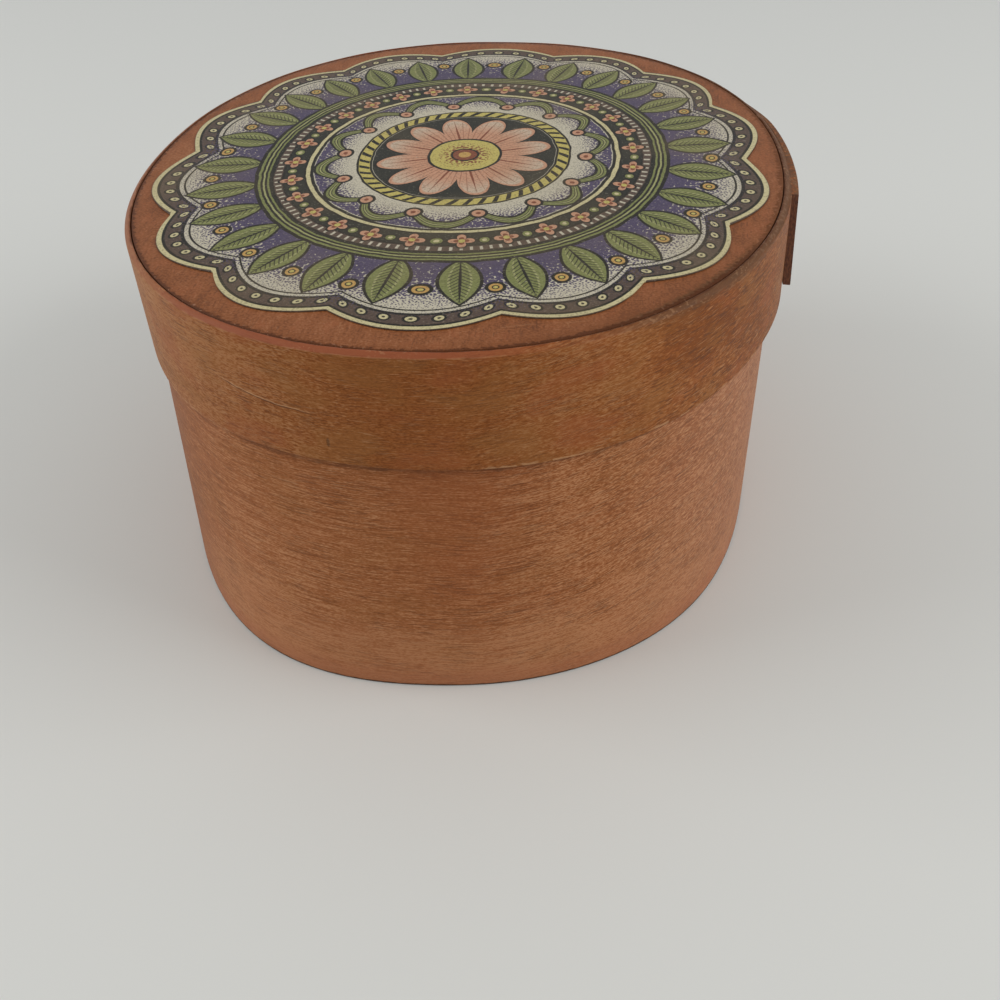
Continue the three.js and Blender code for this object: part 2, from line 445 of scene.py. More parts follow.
def lid_stations():
    """Lid band: one strip that starts with a feathered end, goes once round, climbs over that end
    and stops at a square cut. Angles are counted from the cut back along the strip."""
    lap = LAP_FULL + LAP_RAMP
    steps = round(TURN_STEPS * (math.tau + lap) / math.tau)
    stations = []
    for step in range(steps + 1):
        swept = (math.tau + lap) * step / steps
        turn = LAP_END + swept
        sprung = max(0.0, 1 - swept / LAP_LIFTED) ** 2
        inner = -VENEER
        outer = BULGE * near(turn, LAP_END, BULGE_REACH)
        if swept <= lap:
            climb = VENEER * (1 - smoothstep(swept, LAP_FULL, lap))
            lift = LAP_LIFT * sprung
            inner += climb + lift + GLUE_LINE
            outer += climb + lift + GLUE_LINE
        under = swept - math.tau
        if under > LAP_FULL:
            outer = -VENEER * smoothstep(under, LAP_FULL, lap) + GLUE_LINE / 2
        trim = LAP_TRIM * (1 - smoothstep(swept, 0, lap))
        low = LID_LOW[2] + trim + waver(turn, LID_FOOT_WAVES)
        high = LID_HIGH[2] - LID_RIM_WEAR - waver(turn, LID_RIM_WAVES)
        stations.append(Station(turn, LAP_FLARE * sprung, inner, outer, low, high))
    return stations


def base_rim(turn, outwards, height):
    """Rim of the base, which follows the body's foot."""
    return oval_point(turn, BASE_EDGE + outwards + lean(turn, BODY_STRAYS, 0.0), height)


def lid_board_rim(turn, outwards, height):
    """Rim of the lid's board, cut by hand, with a crevice to the band that is widest at the front."""
    crevice = CREVICE_WIDTH + CREVICE_SWELL * math.cos(turn - CREVICE_WIDEST) + waver(turn, CREVICE_WAVES)
    return oval_point(turn, outwards - VENEER - crevice, height)


def print_rim(turn, outwards, height):
    """Scalloped rim of the print."""
    lobe = abs(math.sin(PRINT_LOBES * turn / 2))
    inset = PRINT_LOBE_DEPTH * (1 - lobe)
    return oval_point(turn, outwards - inset, height, PRINT_HALF_WIDTH, PRINT_HALF_LENGTH)


def board(name, rim_point, steps, low, high, rounding, materials):
    """Flat board or sheet with a rounded edge, from a function that gives points on its rim. The last
    of its materials is on its underside."""
    depths = [rounding * share for share in ROUND_SHARES]
    profile = [(-depth, high - edge_fall(depth, rounding)) for depth in depths]
    profile += [(-depth, low + edge_fall(depth, rounding)) for depth in reversed(depths)]
    rays = []
    for step in range(steps):
        turn = math.tau * step / steps
        rim = [rim_point(turn, outwards, height) for outwards, height in profile]
        above = [(rim[0][0] * ring, rim[0][1] * ring, high) for ring in BOARD_RINGS[::-1]]
        below = [(rim[-1][0] * ring, rim[-1][1] * ring, low) for ring in BOARD_RINGS]
        rays.append(above + rim + below)
    size = len(rays[0])
    vertices = [point for ray in rays for point in ray]
    vertices += [(0, 0, high), (0, 0, low)]
    top = len(vertices) - 2
    bottom = len(vertices) - 1
    underside = len(materials) - 1
    faces = []
    slots = []
    for step in range(steps):
        here = step * size
        there = (step + 1) % steps * size
        faces.append((top, here, there))
        faces.append((bottom, there + size - 1, here + size - 1))
        slots.extend([0, underside])
        for point in range(size - 1):
            faces.append((here + point, here + point + 1, there + point + 1, there + point))
            slots.append(0 if point < size - len(BOARD_RINGS) - 1 else underside)
    return make_object(name, vertices, faces, materials, slots)


class Field:
    """A number that varies over a surface. Arithmetic on fields adds math nodes to their material."""

    def __init__(self, tree, socket):
        self.tree = tree
        self.socket = socket

    def math(self, operation, *others):
        node = self.tree.nodes.new("ShaderNodeMath")
        node.operation = operation
        for value, entry in zip((self, *others), node.inputs):
            feed(self.tree, value, entry)
        return Field(self.tree, node.outputs[0])

    def __add__(self, other):
        return self.math("ADD", other)

    def __sub__(self, other):
        return self.math("SUBTRACT", other)

    def __mul__(self, other):
        return self.math("MULTIPLY", other)

    def __truediv__(self, other):
        return self.math("DIVIDE", other)

    def __pow__(self, other):
        return self.math("POWER", other)

    def __abs__(self):
        return self.math("ABSOLUTE")

    def flip(self):
        """One minus the field."""
        return self * -1 + 1

    def least(self, other):
        return self.math("MINIMUM", other)

    def most(self, other):
        return self.math("MAXIMUM", other)

    def rise(self, low, high):
        """Smooth step from 0 at low to 1 at high."""
        node = self.tree.nodes.new("ShaderNodeMapRange")
        node.interpolation_type = "SMOOTHSTEP"
        feed(self.tree, self, node.inputs["Value"])
        feed(self.tree, low, node.inputs["From Min"])
        feed(self.tree, high, node.inputs["From Max"])
        return Field(self.tree, node.outputs["Result"])

    def fall(self, low, high):
        """Smooth step from 1 at low to 0 at high."""
        return self.rise(low, high).flip()

    def within(self, low, high, soft):
        """1 between two values, with soft borders."""
        return self.rise(low - soft, low + soft) * self.fall(high - soft, high + soft)


def feed(tree, value, entry):
    """Link a field or a socket to an input, or set the input to a plain value."""
    if isinstance(value, Field):
        tree.links.new(value.socket, entry)
    elif isinstance(value, bpy.types.NodeSocket):
        tree.links.new(value, entry)
    else:
        entry.default_value = value


def combine(tree, x, y, z):
    node = tree.nodes.new("ShaderNodeCombineXYZ")
    for value, entry in zip((x, y, z), node.inputs):
        feed(tree, value, entry)
    return node.outputs[0]


def hypotenuse(side, out):
    return (side * side + out * out) ** 0.5


def edge_distance(x, y, half_width, half_length):
    """Distance inwards from an oval, to first order, in the units of its half sizes."""
    across = abs(x) / half_width
    along = abs(y) / half_length
    level = (across ** OVAL_POWER + along ** OVAL_POWER) ** (1 / OVAL_POWER)
    slope_across = across ** (OVAL_POWER - 1) / half_width
    slope_along = along ** (OVAL_POWER - 1) / half_length
    slope = hypotenuse(slope_across, slope_along)
    return level.flip() / (slope * level ** (1 - OVAL_POWER))


def new_material(name):
    material = bpy.data.materials.new(name)
    material.use_nodes = True
    tree = material.node_tree
    return material, tree, tree.nodes["Principled BSDF"]


class Coat:
    """A material with colours in layers on a ground, placed by the piece's x, y and z in millimetres."""

    def __init__(self, name, ground):
        self.material, self.tree, self.shader = new_material(name)
        self.color = ground
        place = self.tree.nodes.new("ShaderNodeTexCoord")
        parts = self.tree.nodes.new("ShaderNodeSeparateXYZ")
        self.tree.links.new(place.outputs["Object"], parts.inputs[0])
        self.x, self.y, self.z = [Field(self.tree, output) * (1 / MM) for output in parts.outputs]

    def at_front(self):
        return self.y.fall(-1, 0)

    def grain(self, along, across, level, shift, detail=2.0, z=None):
        """Noise with features of the given sizes, in millimetres, along x, y and z."""
        node = self.tree.nodes.new("ShaderNodeTexNoise")
        node.inputs["Scale"].default_value = 1.0
        node.inputs["Detail"].default_value = detail
        place = ((self.x, along), (self.y, across), (z or self.z, level))
        spot = [part * (1 / size) + shift for part, size in place]
        self.tree.links.new(combine(self.tree, *spot), node.inputs["Vector"])
        return Field(self.tree, node.outputs[0])

    def cells(self, size, feature="F1"):
        """Distance in a flat pattern of random cells, as a share of their size."""
        node = self.tree.nodes.new("ShaderNodeTexVoronoi")
        node.voronoi_dimensions = "2D"
        node.feature = feature
        node.inputs["Scale"].default_value = 1 / size
        self.tree.links.new(combine(self.tree, self.x, self.y, 0.0), node.inputs["Vector"])
        return Field(self.tree, node.outputs["Distance"])

    def lay(self, color, mask):
        """Colour over the layers so far, as far as the mask says."""
        node = self.tree.nodes.new("ShaderNodeMix")
        node.data_type = "RGBA"
        feed(self.tree, mask, node.inputs[0])
        for layer, entry in ((self.color, node.inputs[6]), (color, node.inputs[7])):
            feed(self.tree, (*layer, 1) if isinstance(layer, tuple) else layer, entry)
        self.color = node.outputs[2]

    def finish(self, roughness, height, relief):
        """The material, with a roughness field and bumps by a height field times a relief."""
        feed(self.tree, self.color, self.shader.inputs["Base Color"])
        feed(self.tree, roughness, self.shader.inputs["Roughness"])
        bump = self.tree.nodes.new("ShaderNodeBump")
        bump.inputs["Strength"].default_value = 1.0
        bump.inputs["Distance"].default_value = relief
        feed(self.tree, height, bump.inputs["Height"])
        self.tree.links.new(bump.outputs["Normal"], self.shader.inputs["Normal"])
        return self.material


def stain_veneer(coat, veneer, fibrous, crisp, fade):
    """Thin bent veneer under a worn stain, with the grain round the band. Fibrous is how much of the
    grain is fibres, the rest being speckle, crisp how strongly the grain shows, and fade how much
    lighter the stain is. Gives the fibres and the height of the grain."""
    shift = veneer.shift
    sway = coat.grain(45, 45, 40, shift + 3.1)
    bent = coat.z + sway * GRAIN_SWAY - coat.x.most(GRAIN_CLIMB_FROM) * GRAIN_CLIMB
    depth = coat.grain(34, 34, 20, shift, 3.0, bent)
    flush = coat.grain(11, 11, 5, shift + 4.9, 3.0, bent)
    streaks = coat.grain(16, 16, 1.6, shift + 7.3, 2.0, bent)
    fibres = coat.grain(veneer.length, veneer.length, veneer.height, shift + 11.9, 3.0, bent)
    speckle = coat.grain(0.5, 1.3, 0.15, shift + 31.7, 1.0, bent)
    pores = coat.grain(3.0, 5.0, 0.13, shift + 17.7, 1.0, bent)
    clusters = coat.grain(8, 8, 3.0, shift + 29.1, 2.0, bent)
    hairs = coat.grain(1.8, 3.6, 0.13, shift + 23.3, 1.0, bent)
    clouds = (depth * 0.6 + streaks * 0.3 - 0.45) * veneer.cloud
    lines = (speckle + (fibres - speckle) * fibrous) * 2.7 - 1.35
    tone = clouds + lines * crisp + fade + 0.5
    cracks = pores.rise(0.56, 0.66) * clusters.rise(0.34, 0.64)
    coat.lay(veneer.middle, tone.rise(0.1, 0.5))
    coat.lay(veneer.light, tone.rise(0.5, 0.95))
    coat.lay(RED_FLUSH, flush.rise(0.5, 0.68) * veneer.cloud * 0.38)
    coat.lay(OCHRE_FLUSH, flush.fall(0.36, 0.48) * veneer.cloud * 0.34)
    coat.lay(PORE, cracks * 0.45 * crisp)
    coat.lay(RAW_FIBRE, hairs.rise(0.6, 0.74) * 0.32 * crisp)
    return fibres, fibres * 0.5 + speckle * 0.4 - cracks * 0.7


def finish_veneer(coat, fibres, height):
    coat.shader.inputs["Specular IOR Level"].default_value = VENEER_SPECULAR
    return coat.finish(fibres * 0.2 + 0.42, height, VENEER_RELIEF)


def body_stain(name):
    """Outside of the body: redder in the middle, handled low down, with a painted sheen at the right, and
    with grime and painted shadows at the foot and under the lid.
    """
    coat = Coat(name, BODY_VENEER.deep)
    x, z = coat.x, coat.z
    handled = coat.grain(20, 20, 9, 8.1, 3.0) - 0.5
    low_down = (z + handled * 20).fall(5, 17)
    left_foot = x.within(-32, -14, 8) * z.fall(20, 34)
    right_foot = x.rise(32, 46) * z.fall(8, 24)
    flushed = x.within(-2, 14, 7) * z.rise(4, 34) * coat.at_front()
    fade = left_foot * 0.12 + low_down * 0.22 - x.fall(-46, -28) * 0.36
    fade = fade + x.within(6, 26, 8) * 0.09 - right_foot * 0.15 + 0.03 - flushed * 0.12
    fibrous = x.fall(4, 30) * 0.2 + 0.38
    crisp = x.rise(2, 18) * 0.25 + x.rise(28, 42) * 0.45 + 1.2
    fibres, height = stain_veneer(coat, BODY_VENEER, fibrous, crisp, fade)
    coat.lay(RED_FLUSH, flushed * 0.35)
    # Painted sheen: paler and greyer towards the right
    coat.lay(BODY_SHEEN, x.rise(22, 42) * 0.15)
    coat.lay(BODY_HANDLED, low_down * x.rise(-44, -26) * 0.3)
    soil_and_shade_body(coat)
    return finish_veneer(coat, fibres, height)


def soil_and_shade_body(coat):
    """Reddened foot with a painted contact shadow along its lower edge, deep stain under the lid, and a
    painted shadow with some grime just under the lid's edge.
    """
    rough = coat.grain(1.6, 1.6, 0.8, 5.5, 3.0) - 0.5
    smudged = coat.grain(5, 5, 5, 15.5)
    above = coat.z - LID_LOW[2] / MM
    coat.lay(BODY_FOOT, (coat.z + rough * 3.0).fall(1.2, 4.6) * 0.5)
    # Painted contact shadow: a dark line along the lowest half millimetre of the body
    coat.lay(DARK_DIRT_AND_SHADE, (coat.z + rough * 0.3).fall(0.26, 0.44) * 0.9)
    coat.lay(BODY_DEEP, above.rise(-0.6, 0.2) * 0.5)
    # Painted shadow, with some grime, on the body just under the lid's edge, in the pore colour
    lid_shadow_and_grime = (above + rough * 0.9).within(-1.05, 0.1, 0.14) * coat.x.rise(-42, -18)
    coat.lay(PORE, lid_shadow_and_grime * smudged.rise(0.25, 0.7) * 0.7)


def lid_stain(name):
    """Outside of the lid band: faded at the left, broken grain at the right, worn edges and a few marks."""
    coat = Coat(name, LID_VENEER.deep)
    x, z = coat.x, coat.z
    dark_patch = x.within(31, 42, 4) * z.rise(45, 51)
    fade = x.fall(-32, -8) * 0.36 - x.fall(-48, -36) * 0.15 + x.within(12, 30, 7) * 0.14
    fade = fade - x.rise(36, 46) * 0.2 - x.within(-8, 2, 4) * 0.12 - dark_patch * 0.42
    crisp = x.fall(-16, -4) * 0.35 + x.fall(-46, -36) * 0.4 + x.rise(10, 30) * 0.15
    crisp = crisp + x.rise(32, 44) * 0.6 + 0.95
    fibres, height = stain_veneer(coat, LID_VENEER, LID_FIBROUS, crisp, fade)
    dashes = coat.grain(1.8, 2.6, 0.3, 57.9, 1.0)
    coat.lay(PORE, dashes.rise(0.59, 0.65) * x.rise(22, 36) * 0.75)
    wear = lid_wear(coat)
    stain_rim(coat, wear)
    scuff_rim(coat, wear)
    chip_foot(coat, wear)
    dented = dent_lid(coat)
    split = split_lid(coat, wear.rough)
    return finish_veneer(coat, fibres, height - dented - split * 0.8)


# Fields that the kinds of wear on the lid band share
Wear = namedtuple("Wear", "rough worn chips scuffs from_top inset dirty_end")


def lid_wear(coat):
    return Wear(
        rough=coat.grain(1.8, 1.8, 0.7, 45.5, 3.0) - 0.5,
        worn=coat.grain(9, 9, 9, 47.1),
        chips=coat.grain(2.2, 2.2, 2.2, 53.3),
        scuffs=coat.grain(0.6, 0.6, 0.3, 49.7),
        from_top=coat.z * -1 + LID_HIGH[2] / MM,
        inset=edge_distance(coat.x, coat.y, HALF_WIDTH / MM, HALF_LENGTH / MM),
        dirty_end=coat.x.rise(16, 32),
    )


def stain_rim(coat, wear):
    """Red rim, rubbed at the left and dirty at the right, with a dark line of painted shade and dirt where
    it meets the board.
    """
    x = coat.x
    arris = RIM_FALL / MM
    rim = (wear.from_top + wear.rough * 0.35).fall(arris, arris + 0.2)
    red = x.rise(-42, -24) * 0.6 - x.rise(2, 20) * 0.75 + 0.3
    coat.lay(LID_RIM, rim * red.most(0.0))
    coat.lay(LID_RIM_RUBBED, x.fall(-48, -30) * rim * 0.6)
    coat.lay(DIRT, (wear.inset + wear.rough * 1.6).rise(-0.4, 0.3) * rim * wear.dirty_end * 0.55)
    smeared = (wear.from_top + wear.rough * 1.6).fall(arris + 0.1, arris + 1.3) * x.rise(24, 38)
    coat.lay(DIRT, smeared * wear.inset.rise(-0.3, 0.0) * 0.65)
    # Painted shade and dirt along the crevice beside the board
    beside_board = wear.inset + wear.dirty_end * 0.1 + wear.rough * 0.6
    coat.lay(CREVICE_SHADE_AND_DIRT, beside_board.rise(0.62, 0.88) * 0.75)


def scuff_rim(coat, wear):
    """Pale fibres along the rim, and dirt on top of the lap."""
    arris = RIM_FALL / MM
    on_arris = (wear.from_top + wear.rough * 0.2).within(arris, arris + 0.16, 0.07)
    coat.lay(RAW_FIBRE, on_arris * wear.chips.rise(0.42, 0.6) * wear.dirty_end.flip() * 0.22)
    lap_top = wear.inset.fall(-0.1, 0.0) * wear.from_top.fall(arris + 0.1, arris + 0.2)
    coat.lay(DIRT, lap_top * wear.scuffs.rise(0.35, 0.55) * 0.75)
    scuffed = (wear.from_top + wear.rough * 3.0).fall(0.7, 1.8) * wear.worn.rise(0.5, 0.64)
    coat.lay(RAW_FIBRE, scuffed * wear.scuffs.rise(0.54, 0.68) * 0.25)
    frayed = wear.from_top.fall(0.3, 0.6) * coat.x.rise(38, 47) * wear.scuffs.rise(0.5, 0.6)
    coat.lay(FRAYED, frayed * 0.15)


def chip_foot(coat, wear):
    """Pale chips along the lid's lower edge, most of them to the right of the front's middle."""
    from_foot = coat.z - LID_LOW[2] / MM
    foot_arris = (from_foot + wear.rough * 0.7).fall(0.22, 0.36)
    all_round = wear.chips.rise(0.5, 0.62) * wear.worn.rise(0.4, 0.55) * 0.6
    to_right = coat.x.within(10, 21, 4) * wear.chips.rise(0.4, 0.5)
    coat.lay(RAW_FIBRE, foot_arris * (all_round + to_right).least(0.55))


def dent_lid(coat):
    """A small dark dent. Gives its depth."""
    dent = ((coat.x - DENT_X) / DENT_HALF_WIDTH) ** 2 + ((coat.z - DENT_Z) / DENT_HALF_HEIGHT) ** 2
    dented = dent.fall(0.4, 1.0) * coat.at_front()
    coat.lay(DARK_DIRT_AND_SHADE, dented * 0.5)
    return dented


def split_lid(coat, rough):
    """A split along the grain, with a pale splinter above it. Gives its depth."""
    along = coat.x - SPLIT_LOWEST_X
    above = coat.z + rough * 0.5 - along * along * SPLIT_CURVE - SPLIT_LOWEST_Z
    reach = coat.x.within(SPLIT_LEFT, SPLIT_RIGHT, SPLIT_FADE) * coat.at_front()
    split = abs(above).fall(SPLIT_HALF_WIDTH / 2, SPLIT_HALF_WIDTH) * reach
    splinter = above.within(SPLIT_HALF_WIDTH, SPLIT_HALF_WIDTH * 2.5, SPLIT_HALF_WIDTH / 2) * reach
    coat.lay(PORE, split * 0.85)
    coat.lay(RAW_FIBRE, splinter * 0.7)
    return split


def bare_wood(name, along, across, shift):
    """Unstained wood; along and across are the grain's sizes in millimetres on x and y."""
    coat = Coat(name, BARE_DEEP)
    rings = coat.grain(along * 6, across * 6, 3.0, shift, 3.0)
    fibres = coat.grain(along, across, 0.35, shift + 5.7, 3.0)
    pores = coat.grain(along, across, 0.25, shift + 9.1, 1.0)
    coat.lay(BARE, rings.rise(0.35, 0.65))
    coat.lay(BARE_LIGHT, fibres.rise(0.45, 0.75) * 0.6)
    coat.lay(BARE_PORE, pores.rise(0.62, 0.72) * 0.5)
    return coat.finish(fibres * 0.2 + 0.55, fibres, BARE_RELIEF)


def cut_end(name):
    """Square-cut end of a strip, dark with stain that soaked into the end grain."""
    coat = Coat(name, CUT_DEEP)
    specks = coat.grain(0.25, 0.25, 0.6, 2.0)
    coat.lay(CUT_LIGHT, specks.rise(0.35, 0.7))
    return coat.finish(specks * 0.2 + 0.55, specks, CUT_RELIEF)


def lid_wood(name):
    """Top board: the same stain on a flat board, with fine scratches and an edge with dirt and painted
    shade.
    """
    coat = Coat(name, TOP_DEEP)
    patches = coat.grain(12, 18, 20, 1.7, 3.0)
    mottles = coat.grain(2.2, 3.6, 5, 3.9, 3.0)
    fibres = coat.grain(0.45, 3.5, 1.0, 6.1, 3.0)
    speckle = coat.grain(0.35, 0.35, 1.0, 9.3, 1.0)
    ticks = coat.grain(0.3, 2.2, 1.0, 13.7, 1.0)
    crumbs = coat.grain(0.8, 0.8, 0.8, 19.3, 3.0) - 0.5
    smears = coat.grain(3.5, 3.5, 5, 25.1, 3.0)
    tone = patches + mottles * 0.7 + fibres * 0.8 + speckle * 1.4 - 1.45
    coat.lay(TOP_STAIN, tone.rise(0.1, 0.5))
    coat.lay(TOP_LIGHT, tone.rise(0.5, 0.95))
    coat.lay(RED_FLUSH, mottles.rise(0.5, 0.66) * 0.25)
    coat.lay(PORE, ticks.rise(0.62, 0.72) * patches.fall(0.4, 0.65) * 0.55)
    half_width = SCRATCH_WIDTH / SCRATCH_SPACING / 2
    scratches = coat.cells(SCRATCH_SPACING, "DISTANCE_TO_EDGE").fall(half_width, half_width * 2)
    coat.lay(RAW_FIBRE, scratches * smears.rise(0.58, 0.64) * 0.16)
    dirt = soil_and_shade_board_edge(coat, crumbs, smears)
    coat.shader.inputs["Specular IOR Level"].default_value = VENEER_SPECULAR
    height = fibres * 0.25 + speckle * 0.3 + crumbs * dirt * 2.0
    return coat.finish(fibres * 0.15 + dirt * 0.2 + 0.42, height, BOARD_RELIEF)


def soil_and_shade_board_edge(coat, crumbs, smears):
    """Dark edge of the top board, with dirt at the right, a crevice line of painted shade and dirt, and
    frayed fibres. Gives the dirt.
    """
    x = coat.x
    ragged = coat.grain(0.45, 0.45, 1.0, 27.7) - 0.5
    inwards = edge_distance(x, coat.y, HALF_WIDTH / MM, HALF_LENGTH / MM) - VENEER / MM
    front = coat.y.fall(-42, -24)
    coat.lay(TOP_DEEP, (inwards + crumbs * 2.0).fall(0.4, 2.0) * 0.4)
    coat.lay(TOP_DEEP, (inwards + crumbs * 3.0).fall(0.5, 4.5) * x.rise(4, 20) * front * 0.5)
    banked = inwards - x.rise(20, 36) * front * 0.6
    dirt = (banked + crumbs * 2.0 + ragged * 1.6).fall(0.2, 1.3) * smears.rise(0.26, 0.44) * x.rise(8, 32)
    coat.lay(DIRT, dirt * (front * 0.45 + 0.4))
    coat.lay(DARK_DIRT_AND_SHADE, dirt * crumbs.rise(0.02, 0.14) * front * 0.5)
    # Crevice line: painted shade of the gap to the band, with dirt
    crevice = (inwards - x.rise(2, 22) * 0.2 + crumbs * 1.6 + ragged * 0.5).fall(0.4, 0.75)
    filled = x.rise(30, 42) * front.flip()
    coat.lay(CREVICE_SHADE_AND_DIRT, crevice * (filled * -0.55 + 0.85))
    frays = inwards.fall(0.5, 1.4) * smears.rise(0.42, 0.54)
    coat.lay(PORE, frays * ragged.fall(-0.18, -0.1) * x.fall(0, 20) * 0.6)
    coat.lay(FRAYED, frays * ragged.rise(0.1, 0.2) * (x.fall(-20, 0) * 0.25 + 0.15))
    return dirt


class Ornament(Coat):
    """Flat inks on an oval print, placed by rings and by motifs that repeat round it."""

    def __init__(self, name, ground):
        super().__init__(name, ground)
        half_width = PRINT_HALF_WIDTH / MM
        half_length = PRINT_HALF_LENGTH / MM
        self.mean_radius = (half_width + half_length) / 2
        across = self.x / half_width
        along = self.y / half_length
        power = OVAL_POWER / 2
        turn_across = across.math("SIGN") * abs(across) ** power
        turn_along = along.math("SIGN") * abs(along) ** power
        self.turn = turn_along.math("ARCTAN2", turn_across)
        level = abs(across) ** OVAL_POWER + abs(along) ** OVAL_POWER
        unsteady = (self.grain(3.0, 3.0, 3.0, 1.3, 1.0) - 0.5) * PEN_UNSTEADY
        self.radius = level ** (1 / OVAL_POWER) + unsteady / self.mean_radius
        self.inset = edge_distance(self.x, self.y, half_width, half_length)

    def wave(self, count):
        """Scallops once round: 0 where they meet, 1 at their tips."""
        return abs((self.turn * (count / 2)).math("SINE"))

    def beyond(self, ring):
        """Distance outwards from a ring, in millimetres. The ring is a share of the oval's size."""
        return (self.radius - ring) * self.mean_radius

    def beside(self, count, phase):
        """Distance sideways from the nearest of a ring of equal motifs, in millimetres."""
        spacing = math.tau * self.mean_radius / count
        part = (self.turn * (count / math.tau) + phase).math("FRACT") - 0.5
        return part * self.radius * spacing

    def fill(self, color, depth):
        """Colour where a signed distance, in millimetres, is below zero."""
        self.lay(color, depth.fall(-PRINT_BLUR, PRINT_BLUR))

    def outlined(self, color, depth, line=0.4):
        """A shape in a colour with an ink line round it."""
        self.fill(INK, depth - line)
        self.fill(color, depth)

    def band(self, color, low, high):
        """Band between two rings, with an ink line at each border."""
        half = (high - low) / 2 * self.mean_radius
        self.outlined(color, abs(self.beyond((low + high) / 2)) - half)

    def stipple(self, color, density, size):
        """Small dots, denser where the density field is higher."""
        self.lay(color, (self.cells(size) - density * 0.8 + 0.05).fall(-0.06, 0.06))


def print_paper(name):
    """Glued paper with a generic rosette: beads, leaves, flowers, festoons, a rope and a blossom."""
    art = Ornament(name, UMBER)
    print_border(art)
    print_leaves(art)
    print_flowers(art)
    print_festoons(art)
    print_rope(art)
    print_blossom(art)
    fleck = art.grain(0.34, 0.34, 1.0, 4.4, 1.0)
    aged = art.grain(18, 18, 18, 2.2, 3.0)
    rubbed = art.grain(0.9, 0.5, 1.0, 8.8, 3.0)
    art.lay(INK, fleck.fall(0.3, 0.5) * 0.35)
    art.lay(PALE, fleck.rise(0.58, 0.75) * 0.14)
    art.lay(AGED, aged.rise(0.4, 0.75) * 0.2)
    art.lay(PALE, rubbed.rise(0.7, 0.76) * 0.4)
    art.shader.inputs["Specular IOR Level"].default_value = PAPER_SPECULAR
    return art.finish(fleck * 0.12 + 0.45, fleck, PAPER_RELIEF)


def print_border(art):
    """Cream edge with a dark line at the cut, which is painted shadow of the paper's edge and dark ink, a
    dark band with beads, and the stippled field inside it.
    """
    inset = art.inset - art.wave(PRINT_LOBES).flip() * (PRINT_LOBE_DEPTH / MM)
    bead = hypotenuse(art.beside(BEADS, 0.0), inset - BEAD_LINE)
    art.outlined(CREAM, bead - 0.62, 0.35)
    art.fill(INK, bead - 0.22)
    art.outlined(PALE, inset * -1 + FIELD_LINE, 0.55)
    art.stipple(VIOLET, art.beyond(FIELD_SHADE_RING).fall(-10, 6) + 0.12, 0.42)
    art.fill(INK, abs(inset - FIELD_INK_LINE) - 0.16)
    art.fill(INK, inset - CREAM_INK_LINE)
    art.fill(CREAM, inset - CREAM_LINE)
    # Dark line at the cut: painted shadow of the paper's edge, with dark ink
    art.fill(UMBER, inset - CUT_LINE)


def print_leaves(art):
    """Garland of hatched leaves with berries between their tips."""
    side = abs(art.beside(LEAVES, 0.0))
    length = art.beyond(LEAF_RING)
    out = length / LEAF_HALF_LENGTH
    half = (out * out).flip() * LEAF_HALF_WIDTH
    art.outlined(OLIVE, side - half, 0.5)
    art.fill(OLIVE_PALE, side - half * 0.62)
    art.fill(OLIVE, side - half * 0.5)
    hatch = ((length - side * 0.9) * (1 / LEAF_HATCH)).math("FRACT").fall(0.24, 0.36)
    art.lay(INK, hatch * (side - half * 0.62).fall(-0.1, 0.1) * 0.8)
    art.fill(INK, side - half * 0.08)
    berry = hypotenuse(art.beside(LEAVES, 0.5), art.beyond(BERRY_RING))
    art.outlined(OCHRE, berry - 1.0, 0.5)
    art.fill(INK, berry - 0.55)
    art.fill(YELLOW, berry - 0.35)
    art.fill(INK, art.beyond(LEAF_FOOT_RING))
    art.band(OLIVE, *OLIVE_BAND)
    art.band(OLIVE_PALE, *OLIVE_PALE_BAND)


def print_flowers(art):
    """Dark ring with a comb of pale teeth, four-petalled flowers and dots between them."""
    art.fill(NIGHT, art.beyond(NIGHT_RING))
    art.band(UMBER, *COMB_BAND)
    tooth = abs(art.beside(COMB_TEETH, 0.0)) - 0.22
    art.fill(PALE, tooth.most(abs(art.beyond(COMB_RING)) - 0.5))
    side = art.beside(LEAVES, 0.0)
    out = art.beyond(FLOWER_RING)
    flower = hypotenuse(side, out)
    petals = abs((out.math("ARCTAN2", side) * 2).math("COSINE"))
    art.outlined(BLUSH, flower - petals * 1.2 - 0.7)
    art.fill(RUSSET, flower - petals * 0.7 - 0.45)
    art.fill(YELLOW, flower - 0.5)
    dot = hypotenuse(art.beside(LEAVES, 0.5), out)
    art.outlined(OLIVE, dot - 0.75, 0.3)
    art.fill(CREAM, dot - 0.36)
    art.band(CREAM, *CREAM_BAND)


def print_festoons(art):
    """Stippled ring with a scalloped garland tied at its joins."""
    ground = art.beyond(FESTOON_GROUND_RING)
    art.fill(PALE, ground)
    shaded = art.beyond(FESTOON_SHADE_RING).rise(-1, 8) + 0.15
    art.stipple(VIOLET, shaded * ground.fall(-0.3, 0.0), 0.4)
    drape = abs(art.beyond(FESTOON_RING) - art.wave(PRINT_LOBES) * FESTOON_DROP)
    art.outlined(OLIVE, drape - 0.75, 0.5)
    art.fill(INK, drape - 0.3)
    art.fill(OLIVE_PALE, drape - 0.14)
    knot = hypotenuse(art.beside(PRINT_LOBES, 0.5), art.beyond(KNOT_RING))
    art.outlined(BLUSH, knot - 1.05, 0.5)
    art.fill(RUSSET, knot - 0.4)


def print_rope(art):
    """Twisted yellow rope round the blossom."""
    art.band(YELLOW, *ROPE_BAND)
    out = art.beyond(ROPE_RING)
    twist = art.turn * (ROPE_TWISTS / math.tau) + out * 0.28
    art.lay(INK, twist.math("FRACT").fall(0.34, 0.42) * abs(out).fall(0.85, 0.95))


